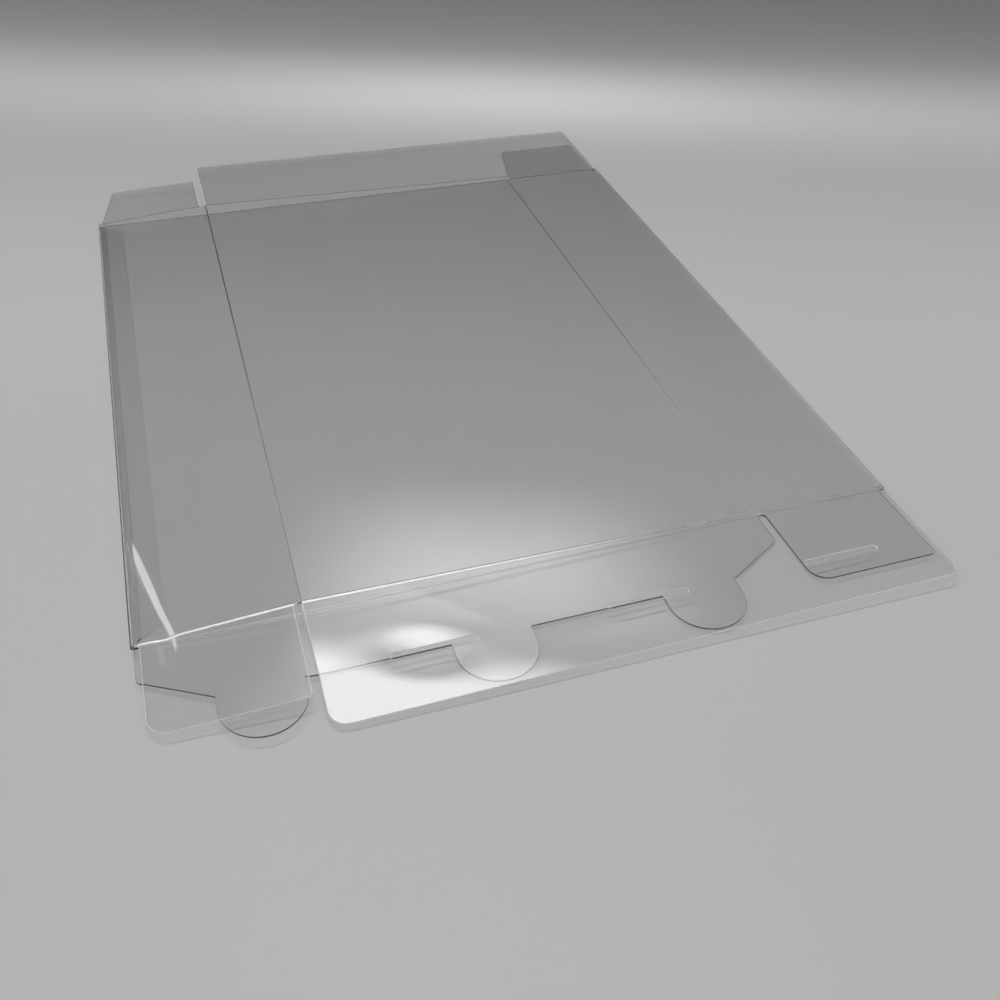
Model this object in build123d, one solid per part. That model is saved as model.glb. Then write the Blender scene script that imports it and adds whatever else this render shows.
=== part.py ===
from build123d import *
import os

# Clear film box protector, flat-packed: one sheet of clear film, die-cut, creased and glued into
# a four-panel sleeve, pressed flat in two layers, with closing flaps at both ends.
#
# Frame while it is drawn: X runs across the flat sleeve from the glued fold on the left, Y runs
# from the near crease line to the far one, and Z stands up from the table. At the end everything
# moves so that the origin is at the bottom centre of the whole part.
#
# Order of the panels on the sheet: glue tab, side A, front B, side C, back D.
# Upper layer: A and B, with the crease between them standing up as a ridge.
# Lower layer: D and C, flat on the table.

# The sheet and the case it goes round
FILM = 0.4                  # thickness of the film
WIDE_PANEL = 134.0          # front and back panels, crease to crease
SIDE_PANEL = 33.0           # side panels, the depth of the box
SLEEVE_LENGTH = 177.5       # near crease line to far crease line

# How the flat sleeve lies
FOLD_GAP = 0.3              # free space inside each pressed fold
RIDGE_TOP = 3.8             # top of the film at the raised crease between A and B
STACK_GAP = 0.3             # free space between the lower flaps and a flap that lies over them

# Creases and the glue seam
SCORE_WIDTH = 0.7           # width of a scored crease line
SCORE_DEPTH = 0.12          # depth that the score is pressed into the film
GLUE_TAB = 7.0              # width of the tab that is stuck on the back panel
TAB_ROOT = 1.0              # strip along the fold where the tab runs the whole length
TAB_SETBACK = 1.5           # from the crease lines to the tab's ends, beside that strip
TAB_TAPER = 4.0             # how much shorter the tab's free edge is, at each end

# Near end: the back flap's tongues lock into the front flap's slots
TONGUE_COUNT = 3
TONGUE_WIDTH = 16.4
TONGUE_NECK = 3.3           # straight length of a tongue before its round end
LOCK_EDGE = 16.2            # near crease to the straight edge that carries the tongues
SHOULDER = 8.5              # near crease to the outer corners of the tongue flap
SHOULDER_RADIUS = 1.6
SLOT_WIDTH = 1.5
SLOT_END_SLACK = 0.9        # what a slot is longer than a tongue is wide
LOCK_SLACK = 0.3            # from the lock edge to the slots in the closed box
SLOT_FLAP_SHORTFALL = 4.0   # what the slot flap is shorter than the box is deep
SLOT_FLAP_RADIUS = 3.6
NEAR_SIDE_FLAP = 22.0       # reach of the near side flaps
SIDE_FLAP_BIG_RADIUS = 4.2  # corner next to the tongue flap
SIDE_FLAP_SMALL_RADIUS = 1.0
NOTCH = 1.8                 # round-topped cut between neighbouring flaps

# Far end: the lid over two dust flaps
LID_FLAP_SHORTFALL = 0.0    # what the lid is shorter than the box is deep
LID_RADIUS = 1.2
DUST_FLAP = 21.6            # reach of the dust flaps
DUST_SLANT = 4.0            # how far the dust flaps' outer side slants in
DUST_RADIUS = 1.0

# Height of the underside of each hinged flap along its free edge, left and right
SLOT_FLAP_REST = (FILM + STACK_GAP, 1.6)
NEAR_SIDE_REST = (1.0, 2.0)
LID_LIFT = (1.6, 1.0)
DUST_LIFT = (1.0, 2.1)

# Construction only: how far a flap's outline runs back over its crease, and how far the layer
# of film that it is cut from runs past the other three sides
OVERRUN = 2.0

# Sizes that follow from those above
fold_radius = FILM + FOLD_GAP / 2
flat_width = WIDE_PANEL + SIDE_PANEL
ridge_x = SIDE_PANEL
lower_crease_x = WIDE_PANEL
left_flat_x = fold_radius
right_flat_x = flat_width - fold_radius
tab_root_x = left_flat_x + TAB_ROOT
left_top = FILM + 2 * fold_radius
right_top = 2 * fold_radius
slot_flap_reach = SIDE_PANEL - SLOT_FLAP_SHORTFALL
lid_reach = SIDE_PANEL - LID_FLAP_SHORTFALL
slot_line = SIDE_PANEL - LOCK_EDGE + LOCK_SLACK
tongue_pitch = WIDE_PANEL / TONGUE_COUNT
tongue_tip = LOCK_EDGE + TONGUE_NECK + TONGUE_WIDTH / 2
front_reach = max(slot_flap_reach, tongue_tip, NEAR_SIDE_FLAP)
back_reach = max(lid_reach, DUST_FLAP)
part_centre = (flat_width / 2, (SLEEVE_LENGTH + back_reach - front_reach) / 2)


def polygon(*points):
    """A flat face from its corner points."""
    return make_face(Polyline(*points, close=True))


def rounded(face, *corners):
    """The face with the named corners rounded; each corner is (x, y, radius)."""
    for x, y, radius in corners:
        corner = face.vertices().sort_by_distance((x, y, 0))[0]
        face = fillet(corner, radius)
    return face


def notch(x, y, reach, toward):
    """A round-topped cut that starts on the crease line at y and runs out past the flap.

    x is the left side of the cut, and toward is -1 at the near end and 1 at the far end.
    """
    top = Pos(x + NOTCH / 2, y + toward * NOTCH / 2) * Circle(NOTCH / 2)
    slot = Pos(x + NOTCH / 2, y + toward * (NOTCH + 2 * reach) / 2) * Rectangle(NOTCH, 2 * reach)
    return top + slot


def score(start, end):
    """The V that a crease rule presses into the upper face of the lower layer."""
    run = Vector(*end) - Vector(*start)
    length = run.length
    profile = Plane.YZ * polygon(
        (-SCORE_WIDTH / 2, 0), (0, -SCORE_DEPTH), (SCORE_WIDTH / 2, 0)
    )
    angle = Vector(1, 0, 0).get_signed_angle(run)
    return Pos(start[0], start[1], FILM) * Rot(0, 0, angle) * extrude(profile, length)


def tongue_flap_outline():
    """Near flap of the back panel: stepped shoulders and three round-ended tongues."""
    first = tongue_pitch / 2 - TONGUE_WIDTH / 2
    last = WIDE_PANEL - first
    face = polygon(
        (left_flat_x, OVERRUN), (left_flat_x, -SHOULDER), (first, -LOCK_EDGE),
        (last, -LOCK_EDGE), (lower_crease_x, -SHOULDER), (lower_crease_x, OVERRUN),
    )
    face = rounded(
        face,
        (left_flat_x, -SHOULDER, SHOULDER_RADIUS),
        (lower_crease_x, -SHOULDER, SHOULDER_RADIUS),
    )
    for number in range(TONGUE_COUNT):
        middle = tongue_pitch * (number + 0.5)
        neck = Pos(middle, -LOCK_EDGE - TONGUE_NECK / 2) * Rectangle(TONGUE_WIDTH, TONGUE_NECK)
        end = Pos(middle, -LOCK_EDGE - TONGUE_NECK) * Circle(TONGUE_WIDTH / 2)
        face = face + neck + end
    return face


def slot_flap_outline():
    """Near flap of the front panel: a plain flap with one slot for each tongue."""
    face = polygon(
        (ridge_x, OVERRUN), (ridge_x, -slot_flap_reach),
        (right_flat_x, -slot_flap_reach), (right_flat_x, OVERRUN),
    )
    face = rounded(
        face,
        (ridge_x, -slot_flap_reach, SLOT_FLAP_RADIUS),
        (right_flat_x, -slot_flap_reach, SLOT_FLAP_RADIUS),
    )
    for number in range(TONGUE_COUNT):
        middle = ridge_x + tongue_pitch * (number + 0.5)
        face = face - Pos(middle, -slot_line) * SlotOverall(TONGUE_WIDTH + SLOT_END_SLACK, SLOT_WIDTH)
    return face


def near_side_outline(big_corner_x, small_corner_x):
    """Near side flap between two creases, large corner towards the tongue flap."""
    low, high = sorted((big_corner_x, small_corner_x))
    face = polygon(
        (low + NOTCH / 2, OVERRUN), (low + NOTCH / 2, -NEAR_SIDE_FLAP),
        (high - NOTCH / 2, -NEAR_SIDE_FLAP), (high - NOTCH / 2, OVERRUN),
    )
    face = face - notch(low, 0, NEAR_SIDE_FLAP, -1) - notch(high - NOTCH, 0, NEAR_SIDE_FLAP, -1)
    inward = 1 if small_corner_x > big_corner_x else -1
    return rounded(
        face,
        (big_corner_x + inward * NOTCH, -NEAR_SIDE_FLAP, SIDE_FLAP_BIG_RADIUS),
        (small_corner_x - inward * NOTCH, -NEAR_SIDE_FLAP, SIDE_FLAP_SMALL_RADIUS),
    )


def dust_flap_outline(low, high):
    """Far dust flap between two creases, its side away from the lid slanting in."""
    edge = SLEEVE_LENGTH
    top = edge + DUST_FLAP
    face = polygon(
        (low + NOTCH / 2, edge - OVERRUN), (high - NOTCH / 2, edge - OVERRUN),
        (high - NOTCH / 2, top), (low + NOTCH / 2 + DUST_SLANT, top), (low + NOTCH / 2, edge),
    )
    face = face - notch(high - NOTCH, edge, DUST_FLAP, 1)
    return rounded(
        face,
        (low + NOTCH / 2 + DUST_SLANT, top, DUST_RADIUS),
        (high - NOTCH, top, DUST_RADIUS),
    )


def lid_outline():
    """Far lid of the front panel."""
    root = SLEEVE_LENGTH - OVERRUN
    top = SLEEVE_LENGTH + lid_reach
    face = polygon((ridge_x, root), (right_flat_x, root), (right_flat_x, top), (ridge_x, top))
    return rounded(face, (ridge_x, top, LID_RADIUS), (right_flat_x, top, LID_RADIUS))


def sleeve_profile():
    """Section across the flat sleeve: two layers, two pressed folds, the ridge and the tab."""
    outer = FILM + fold_radius
    left_mid = Vector(0, outer)
    right_mid = Vector(flat_width, fold_radius)
    outside = [
        Line((left_flat_x, 0), (right_flat_x, 0)),
        ThreePointArc((right_flat_x, 0), right_mid, (right_flat_x, right_top)),
        Line((right_flat_x, right_top), (ridge_x, RIDGE_TOP)),
        Line((ridge_x, RIDGE_TOP), (left_flat_x, left_top)),
        ThreePointArc((left_flat_x, left_top), left_mid, (left_flat_x, FILM)),
        Line((left_flat_x, FILM), (left_flat_x, 0)),
    ]
    half_gap = FOLD_GAP / 2
    half_score = SCORE_WIDTH / 2
    left_rise = (RIDGE_TOP - left_top) / (ridge_x - left_flat_x)
    right_fall = (RIDGE_TOP - right_top) / (right_flat_x - ridge_x)
    inner_ridge = RIDGE_TOP - FILM
    inside = [
        Line((GLUE_TAB, 2 * FILM), (GLUE_TAB, FILM)),
        Polyline(
            (GLUE_TAB, FILM), (lower_crease_x - half_score, FILM),
            (lower_crease_x, FILM - SCORE_DEPTH), (lower_crease_x + half_score, FILM),
            (right_flat_x, FILM),
        ),
        ThreePointArc(
            (right_flat_x, FILM), (right_flat_x + half_gap, fold_radius), (right_flat_x, FILM + FOLD_GAP)
        ),
        Polyline(
            (right_flat_x, FILM + FOLD_GAP),
            (ridge_x + half_score, inner_ridge - right_fall * half_score),
            (ridge_x, inner_ridge + SCORE_DEPTH),
            (ridge_x - half_score, inner_ridge - left_rise * half_score),
            (left_flat_x, left_top - FILM),
        ),
        ThreePointArc(
            (left_flat_x, left_top - FILM), (left_flat_x - half_gap, outer), (left_flat_x, 2 * FILM)
        ),
        Line((left_flat_x, 2 * FILM), (GLUE_TAB, 2 * FILM)),
    ]
    return make_face(outside) - make_face(inside)


def tab_end_cuts():
    """What is trimmed off the two ends of the glue tab, tapered towards its free edge."""
    cuts = []
    for edge, inward in ((0, 1), (SLEEVE_LENGTH, -1)):
        face = polygon(
            (tab_root_x, edge), (GLUE_TAB, edge),
            (GLUE_TAB, edge + inward * (TAB_SETBACK + TAB_TAPER)),
            (tab_root_x, edge + inward * TAB_SETBACK),
        )
        cuts.append(Pos(0, 0, FILM) * extrude(face, FILM))
    return cuts


def sleeve():
    """The four panels, the glue tab and the three flaps of the lower layer, in one sheet."""
    tube = extrude(Plane.XZ * sleeve_profile(), -SLEEVE_LENGTH)
    for cut in tab_end_cuts():
        tube = tube - cut
    lower_side = near_side_outline(lower_crease_x, flat_width)
    bridge = polygon(
        (lower_crease_x, 0), (lower_crease_x, -NOTCH / 2),
        (lower_crease_x + NOTCH / 2, -NOTCH / 2), (lower_crease_x + NOTCH / 2, 0),
    )
    lower_near = tongue_flap_outline() + (bridge - notch(lower_crease_x, 0, NOTCH, -1)) + lower_side
    lower_far = dust_flap_outline(lower_crease_x, flat_width)
    body = tube + extrude(lower_near, FILM) + extrude(lower_far, FILM)
    creases = (
        ((left_flat_x, 0), (lower_crease_x, 0)),
        ((lower_crease_x + NOTCH / 2, 0), (flat_width - NOTCH / 2, 0)),
        ((lower_crease_x + NOTCH / 2, SLEEVE_LENGTH), (flat_width - NOTCH / 2, SLEEVE_LENGTH)),
    )
    for start, end in creases:
        body = body - score(start, end)
    return body


def film_layer(left, right, crease_y, free_y, crease_under, free_under):
    """A straight-ruled layer of film from a crease to past a free edge and both its ends.

    The two pairs are the heights of its underside at left and right, along the crease and
    along the free edge.
    """
    def underside(x, y):
        across = (x - left) / (right - left)
        outward = (y - crease_y) / (free_y - crease_y)
        at_crease = crease_under[0] + across * (crease_under[1] - crease_under[0])
        at_edge = free_under[0] + across * (free_under[1] - free_under[0])
        return at_crease + outward * (at_edge - at_crease)

    past_y = free_y + (OVERRUN if free_y > crease_y else -OVERRUN)
    sections = []
    for x in (left - OVERRUN, right + OVERRUN):
        low_crease, low_edge = underside(x, crease_y), underside(x, past_y)
        points = [
            (x, crease_y, low_crease), (x, past_y, low_edge),
            (x, past_y, low_edge + FILM), (x, crease_y, low_crease + FILM),
        ]
        sections.append(make_face(Polyline(*points, close=True)))
    return loft(sections, ruled=True)


def hinged_flap(outline, left, right, crease_y, reach, crease_under, free_under):
    """A flap that turns about its crease: a ruled layer of film cut to the flap's outline."""
    layer = film_layer(left, right, crease_y, crease_y + reach, crease_under, free_under)
    cutter = Pos(0, 0, -RIDGE_TOP) * extrude(outline, 3 * RIDGE_TOP)
    return layer & cutter


side_crease = (left_top - FILM, RIDGE_TOP - FILM)
front_crease = (RIDGE_TOP - FILM, right_top - FILM)

nodes = {
    "sleeve": sleeve(),
    "slot_flap": hinged_flap(
        slot_flap_outline(), ridge_x, right_flat_x, 0, -slot_flap_reach, front_crease, SLOT_FLAP_REST
    ),
    "near_side_flap": hinged_flap(
        near_side_outline(0, ridge_x), left_flat_x, ridge_x, 0, -NEAR_SIDE_FLAP,
        side_crease, NEAR_SIDE_REST,
    ),
    "lid_flap": hinged_flap(
        lid_outline(), ridge_x, right_flat_x, SLEEVE_LENGTH, lid_reach, front_crease, LID_LIFT
    ),
    "far_dust_flap": hinged_flap(
        dust_flap_outline(0, ridge_x), left_flat_x, ridge_x, SLEEVE_LENGTH, DUST_FLAP,
        side_crease, DUST_LIFT,
    ),
}

os.makedirs("parts", exist_ok=True)
to_origin = Pos(-part_centre[0], -part_centre[1], 0)
for name, shape in nodes.items():
    export_step(to_origin * shape, f"parts/{name}.step")
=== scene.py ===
"""Clear film box protector, flat-packed on a pale table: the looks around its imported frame.

Each piece of film is drawn as its die-cut outline on the flat sheet, laid on the folded shape,
given its thickness and cut edges, and then rippled by a Geometry Nodes tree. Sizes are in
millimetres on the sheet: X from the glued fold, Y from the near crease line, Z from the table.
The table and the lamps are in metres, as their classes say.
"""

import logging
import math
from dataclasses import dataclass, field, fields
from enum import Enum
from typing import Callable, Sequence

import bpy
import numpy as np
from mathutils import Euler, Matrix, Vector
from mathutils.geometry import delaunay_2d_cdt

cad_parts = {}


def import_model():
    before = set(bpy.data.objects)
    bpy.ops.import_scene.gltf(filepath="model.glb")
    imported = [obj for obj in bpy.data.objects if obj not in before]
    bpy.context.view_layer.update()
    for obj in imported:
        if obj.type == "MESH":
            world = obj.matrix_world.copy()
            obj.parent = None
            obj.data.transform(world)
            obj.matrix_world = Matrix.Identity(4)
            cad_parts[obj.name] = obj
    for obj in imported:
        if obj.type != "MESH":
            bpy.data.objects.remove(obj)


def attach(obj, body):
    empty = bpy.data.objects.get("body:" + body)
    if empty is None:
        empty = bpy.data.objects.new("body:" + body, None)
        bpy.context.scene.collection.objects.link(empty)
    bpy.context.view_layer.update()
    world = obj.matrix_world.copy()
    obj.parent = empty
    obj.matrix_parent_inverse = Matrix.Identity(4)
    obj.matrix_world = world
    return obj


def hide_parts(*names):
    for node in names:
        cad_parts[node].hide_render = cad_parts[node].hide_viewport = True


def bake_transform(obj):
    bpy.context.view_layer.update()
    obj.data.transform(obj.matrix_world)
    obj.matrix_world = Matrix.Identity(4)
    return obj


LOG = logging.getLogger("box_protector")
MM = 0.001
FREEDOM = "film_freedom"
FINISH = "film_finish"
# The camera's heading, in degrees from Y towards X: the table and the room are laid out along it.
PHOTO_HEADING = 19.3
# Tolerances, in millimetres: for a side to lie on a seam, for a point to repeat its neighbour,
# for the triangulation to merge two points, and for a size to count as nothing.
ON_SEAM = 1e-3
REPEATED = 1e-4
MERGED = 1e-5
NOTHING = 1e-9

Point = tuple[float, float]
Corner = tuple[float, float, float]  # x, y and radius
RootedCorner = tuple[float, float | None, float]  # the same, with no y at the flap's root
Span = tuple[float, float, float, float]
Place = tuple[float, float, float]
Colour = tuple[float, float, float]


class Finish(Enum):
    """The finishes of the film, in the order of a piece's material slots."""

    CLEAR = 0
    CUT_EDGE = 1
    PRESSED_CREASE = 2
    GLUED_SEAM = 3
    # Painted highlight: the hinged flaps' cut edges, painted white as lit.
    PAINTED_LIT_EDGE = 4
    # Painted highlight: the glint of the near creases, painted white.
    WHITENED_CREASE = 5


class Toward(Enum):
    """Which way a hinged flap leaves its crease."""

    NEAR = -1
    FAR = 1


def soft_step(value: float) -> float:
    """A smooth rise from 0 to 1 while value goes from 0 to 1."""
    held = min(max(value, 0.0), 1.0)
    return held * held * (3 - 2 * held)


def soft_ramp(distance: float, reach: float) -> float:
    """Nothing before a crease and the distance after it, eased on both sides.

    Args:
        distance: how far past the crease.
        reach: how far on each side of the crease the bend is eased.

    Returns:
        The eased distance.
    """
    if distance <= -reach:
        return 0.0
    if distance >= reach:
        return distance
    return (distance + reach) ** 2 / (4 * reach)


def rounded_loop(corners: Sequence[Corner], step: float = 0.35) -> list[Point]:
    """A closed outline from its corners.

    Args:
        corners: x, y and radius of each corner, in order round the outline.
        step: longest chord along a rounded corner.

    Returns:
        The outline's points, with each rounded corner as an arc.
    """
    loop: list[Point] = []
    count = len(corners)
    for index, (x, y, radius) in enumerate(corners):
        if radius <= 0:
            loop.append((x, y))
            continue
        here = np.array((x, y))
        back = np.array(corners[index - 1][:2]) - here
        ahead = np.array(corners[(index + 1) % count][:2]) - here
        back /= np.linalg.norm(back)
        ahead /= np.linalg.norm(ahead)
        half = math.acos(float(np.clip(back @ ahead, -1, 1))) / 2
        middle = here + (back + ahead) / np.linalg.norm(back + ahead) * radius / math.sin(half)
        start = here + back * radius / math.tan(half) - middle
        end = here + ahead * radius / math.tan(half) - middle
        sweep = math.pi - 2 * half
        turns = max(3, math.ceil(sweep * radius / step))
        for turn in range(turns + 1):
            share = turn / turns
            mixed = start * math.sin((1 - share) * sweep) + end * math.sin(share * sweep)
            loop.append(tuple(float(part) for part in middle + mixed / math.sin(sweep)))
    return without_repeats(loop)


def without_repeats(loop: list[Point]) -> list[Point]:
    """Leaves out points that repeat their neighbour.

    Args:
        loop: the closed outline.

    Returns:
        The outline with every point once.
    """
    kept: list[Point] = []
    for point in loop:
        if not kept or math.dist(point, kept[-1]) > REPEATED:
            kept.append(point)
    if math.dist(kept[0], kept[-1]) <= REPEATED:
        kept.pop()
    return kept


def split_at(
    loop: Sequence[Point],
    rows: tuple[Sequence[float], Sequence[float]],
    least_run: float = 0.05,
    least_part: float = 0.06,
) -> list[Point]:
    """The loop with a point wherever one of its sides crosses a station of the lattice.

    Args:
        loop: the closed outline.
        rows: the lattice's stations along each axis.
        least_run: a side that runs less than this along an axis isn't parted on it.
        least_part: the shortest part that a side is parted into.

    Returns:
        The outline with the new points.
    """
    parted: list[Point] = []
    for start, end in zip(loop, [*loop[1:], loop[0]]):
        shares = {0.0}
        for axis, row in enumerate(rows):
            run = end[axis] - start[axis]
            if abs(run) > least_run:
                shares |= {share for share in ((place - start[axis]) / run for place in row)
                           if 0 < share < 1}
        long = math.dist(start, end)
        kept: list[float] = []
        for share in sorted(shares):
            far_from_last = not kept or (share - kept[-1]) * long > least_part
            far_from_end = share == 0 or (1 - share) * long > least_part
            if far_from_last and far_from_end:
                kept.append(share)
        parted += [(start[0] + share * (end[0] - start[0]), start[1] + share * (end[1] - start[1]))
                   for share in kept]
    return parted


def inside(points: np.ndarray, loop: Sequence[Point]) -> np.ndarray:
    """Which points lie inside a closed loop.

    Args:
        points: x and y of each point.
        loop: the closed outline.

    Returns:
        True or false for each point.
    """
    found = np.zeros(len(points), bool)
    x, y = points[:, 0], points[:, 1]
    for (ax, ay), (bx, by) in zip(loop, [*loop[1:], loop[0]]):
        if ay == by:
            continue
        crossed = (y < ay) != (y < by)
        found ^= crossed & (x < ax + (y - ay) * (bx - ax) / (by - ay))
    return found


def clearance(points: np.ndarray, loop: Sequence[Point]) -> np.ndarray:
    """How far each point is from a closed loop.

    Args:
        points: x and y of each point.
        loop: the closed outline.

    Returns:
        The distance from each point to the loop's nearest side.
    """
    nearest = np.full(len(points), np.inf)
    for start, end in zip(loop, [*loop[1:], loop[0]]):
        a, side = np.array(start), np.array(end) - np.array(start)
        along = np.clip((points - a) @ side / (side @ side), 0, 1)
        nearest = np.minimum(nearest, np.linalg.norm(points - a - along[:, None] * side, axis=1))
    return nearest


def spread(low: float, high: float, step: float) -> list[float]:
    """Even stations from low to high, no further apart than step."""
    count = max(1, math.ceil((high - low) / step))
    return [low + (high - low) * index / count for index in range(count + 1)]


def add_socket(tree: bpy.types.NodeTree, name: str, kind: str, way: str = "INPUT") -> None:
    """Adds a named socket to a group."""
    tree.interface.new_socket(name=name, in_out=way, socket_type=kind)


def add_math(tree: bpy.types.NodeTree, operation: str, *values: object) -> bpy.types.NodeSocket:
    """Adds a Math node.

    Args:
        tree: the tree to add to.
        operation: the name of the operation.
        values: its inputs, as sockets or numbers.

    Returns:
        The node's output.
    """
    node = tree.nodes.new("ShaderNodeMath")
    node.operation = operation
    for socket, value in zip(node.inputs, values):
        if isinstance(value, bpy.types.NodeSocket):
            tree.links.new(value, socket)
        else:
            socket.default_value = value
    return node.outputs[0]


def add_heading(
    tree: bpy.types.NodeTree, place: bpy.types.NodeSocket, heading: float
) -> bpy.types.bpy_prop_collection:
    """Turns a place about Z.

    Args:
        tree: the tree to add to.
        place: the place, as a vector.
        heading: the turn, in degrees.

    Returns:
        The outputs X, Y and Z of the turned place.
    """
    turned = tree.nodes.new("ShaderNodeVectorRotate")
    turned.rotation_type = "Z_AXIS"
    turned.inputs["Angle"].default_value = math.radians(heading)
    tree.links.new(place, turned.inputs["Vector"])
    parts = tree.nodes.new("ShaderNodeSeparateXYZ")
    tree.links.new(turned.outputs[0], parts.inputs[0])
    return parts.outputs


def add_scaled(
    tree: bpy.types.NodeTree, colour: bpy.types.NodeSocket | Colour, share: bpy.types.NodeSocket
) -> bpy.types.NodeSocket:
    """Scales a colour.

    Args:
        tree: the tree to add to.
        colour: the colour, as a socket or as its numbers.
        share: how much of it to keep.

    Returns:
        The scaled colour.
    """
    scaled = tree.nodes.new("ShaderNodeVectorMath")
    scaled.operation = "SCALE"
    if isinstance(colour, bpy.types.NodeSocket):
        tree.links.new(colour, scaled.inputs[0])
    else:
        scaled.inputs[0].default_value = colour
    tree.links.new(share, scaled.inputs["Scale"])
    return scaled.outputs[0]


@dataclass(frozen=True)
class Blank:
    """Driving sizes of the die-cut blank and of how it lies, as in the part's source.

    The last two are this script's own: how far in from the side folds the film is held flat.
    """

    film: float = 0.4
    wide_panel: float = 134.0
    side_panel: float = 33.0
    length: float = 177.5
    fold_gap: float = 0.3
    ridge_top: float = 3.8
    glue_tab: float = 7.0
    tab_root: float = 1.0
    tab_setback: float = 1.5
    tab_taper: float = 4.0
    glue_line: float = 0.03
    crease_half_width: float = 0.45
    press_half_width: float = 0.2
    notch: float = 1.8
    tongue_count: int = 3
    tongue_width: float = 16.4
    tongue_neck: float = 3.3
    lock_edge: float = 16.2
    shoulder: float = 8.5
    shoulder_radius: float = 1.6
    slot_width: float = 1.5
    slot_end_slack: float = 0.9
    lock_slack: float = 0.3
    slot_flap_reach: float = 29.0
    slot_flap_radius: float = 3.6
    side_flap_reach: float = 22.0
    side_flap_radii: Point = (4.2, 1.0)
    lid_reach: float = 33.0
    lid_radius: float = 1.2
    dust_flap_reach: float = 21.6
    dust_slant: float = 4.0
    dust_radius: float = 1.0
    held_by_left_fold: float = 1.2
    held_by_right_fold: float = 9.0

    @property
    def left(self) -> float:
        """X where the left fold starts."""
        return self.film + self.fold_gap / 2

    @property
    def right(self) -> float:
        """X where the right fold starts."""
        return self.wide_panel + self.side_panel - self.left

    @property
    def pitch(self) -> float:
        """Spacing of the tongues and of the slots."""
        return self.wide_panel / self.tongue_count

    @property
    def slot_line(self) -> float:
        """Distance from the near crease to the slots."""
        return self.side_panel - self.lock_edge + self.lock_slack

    @property
    def fold_radius(self) -> float:
        """Radius of the pressed folds at the middle of the film."""
        return (self.film + self.fold_gap) / 2

    @property
    def upper_left(self) -> float:
        """Middle of the film where side panel A meets the left fold."""
        return self.film / 2 + 2 * self.left

    @property
    def upper_right(self) -> float:
        """Middle of the film where front panel B meets the right fold."""
        return self.film / 2 + 2 * self.fold_radius

    @property
    def ridge(self) -> float:
        """Middle of the film at the raised crease between A and B."""
        return self.ridge_top - self.film / 2

    @property
    def centre(self) -> Vector:
        """The frame's origin: the middle of the whole flat protector, on the table."""
        reach = self.lid_reach - self.slot_flap_reach
        return Vector((self.wide_panel + self.side_panel, self.length + reach, 0)) / 2

    def upper(self, x: float) -> float:
        """The shape of the upper layer across the sleeve.

        Args:
            x: the place across the sleeve.

        Returns:
            The height of the middle of the film.
        """
        rise = (self.ridge - self.upper_left) / (self.side_panel - self.left)
        fall = (self.ridge - self.upper_right) / (self.right - self.side_panel)
        ease = self.press_half_width
        down_left = rise * soft_ramp(self.side_panel - x, ease)
        down_right = fall * soft_ramp(x - self.side_panel, ease)
        return self.ridge - down_left - down_right

    def upper_slope(self, x: float, reach: float = 0.05) -> float:
        """Slope of the upper layer across the sleeve."""
        return (self.upper(x + reach) - self.upper(x - reach)) / (2 * reach)

    def freedom(self, x: float) -> float:
        """How freely the upper layer ripples, from 0 at the folds at its sides to 1."""
        from_right = soft_step((self.right - x) / self.held_by_right_fold)
        return from_right * soft_step((x - self.left) / self.held_by_left_fold)

    def pressed(self, distance: float) -> float:
        """How deep the crease rule pressed, from 0 beside the crease to 1 on it."""
        share = min(abs(distance) / self.press_half_width, 1.0)
        return (1 + math.cos(math.pi * share)) / 2


@dataclass(frozen=True)
class Spot:
    """One place on a piece of film: its middle point, its directions and its crease."""

    middle: Vector
    along_first: Vector
    along_second: Vector
    crease: float = 0.0
    freedom: float = 1.0
    finish: Finish = Finish.CLEAR


@dataclass(frozen=True)
class Ripple:
    """One wave that the film took up in its packing and handling.

    It travels along its heading, in degrees from X, and fades over its reach along and across
    that heading. Its length is from crest to crest, so that a wave longer than its reach is a
    plain bulge or hollow. A bend curves the crests.
    """

    centre: Point
    heading: float
    height: float
    along: float
    across: float
    length: float = 400.0
    bend: float = 0.0


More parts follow.
